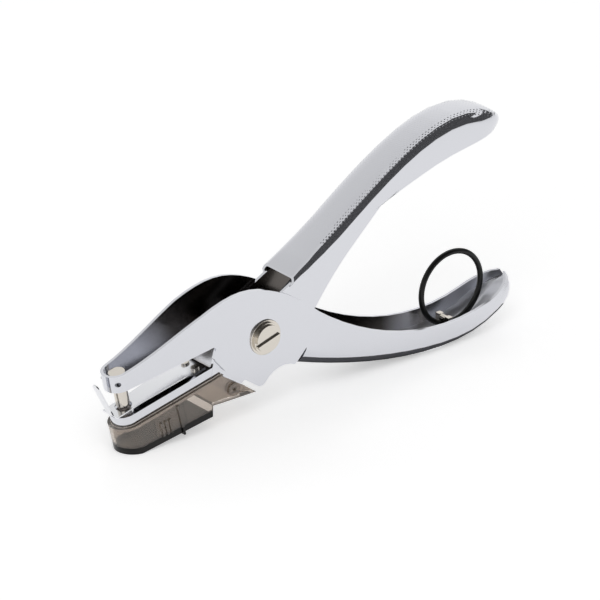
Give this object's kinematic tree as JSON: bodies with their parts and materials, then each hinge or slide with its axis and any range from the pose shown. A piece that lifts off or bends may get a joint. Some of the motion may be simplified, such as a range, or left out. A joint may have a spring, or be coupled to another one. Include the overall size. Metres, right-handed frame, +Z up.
{
  "type": "single hole punch",
  "caption": "Hand-held plier punch of chromed sheet steel that cuts one round hole in paper, with a smoked chip tray under the jaw and a black carry ring in the lower handle.",
  "frame": {"origin": "middle of the footprint, on the surface that the punch stands on", "axes": "+X from the nose towards the handles, +Y across to the far cheek, +Z up; the pivot's axis lies along Y"},
  "size_m": [0.1618, 0.0207, 0.0777],
  "materials": {
    "chrome_sheet": "bright chrome plate on stamped steel",
    "nickel_steel": "warm nickel plate",
    "tool_steel": "ground tool steel",
    "leaf_steel": "bright rolled spring steel",
    "spring_steel": "drawn wire",
    "smoked_plastic": "clear smoked grey-brown moulding",
    "black_rubber": "smooth black"
  },
  "bodies": {
    "frame": {"main_lever": "chrome_sheet", "punch_pin": "nickel_steel", "pin_lock_pin": "spring_steel", "pivot_screw": "nickel_steel", "pivot_washers": "nickel_steel", "pivot_bush": "nickel_steel", "pivot_nut": "nickel_steel", "return_spring": "spring_steel", "ring_staple": "nickel_steel"},
    "lever": {"hand_lever": "chrome_sheet", "die_bush": "tool_steel", "stripper_leaf": "leaf_steel", "leaf_rivets": "nickel_steel", "tray_rear": "smoked_plastic", "tray_studs": "smoked_plastic"},
    "cap": {"tray_cap": "smoked_plastic"},
    "ring": {"carry_ring": "black_rubber"}
  },
  "joints": [
    {"name": "lever_pivot", "type": "hinge", "parent": "frame", "child": "lever", "pos_m": [-0.02111, 0, 0.02584], "axis": [0, 1, 0], "range_deg": [0, 6], "stiffness_Nm_per_rad": 1.2, "springref_deg": -14.32, "deforming": ["return_spring"]},
    {"name": "cap_slide", "type": "slide", "parent": "lever", "child": "cap", "axis": [-0.969, 0, -0.247], "range_m": [0, 0.012]},
    {"name": "ring_swing", "type": "hinge", "parent": "frame", "child": "ring", "pos_m": [0.0559, 0, 0.00703], "axis": [0, 1, 0], "range_deg": [-45, 7]}
  ]
}
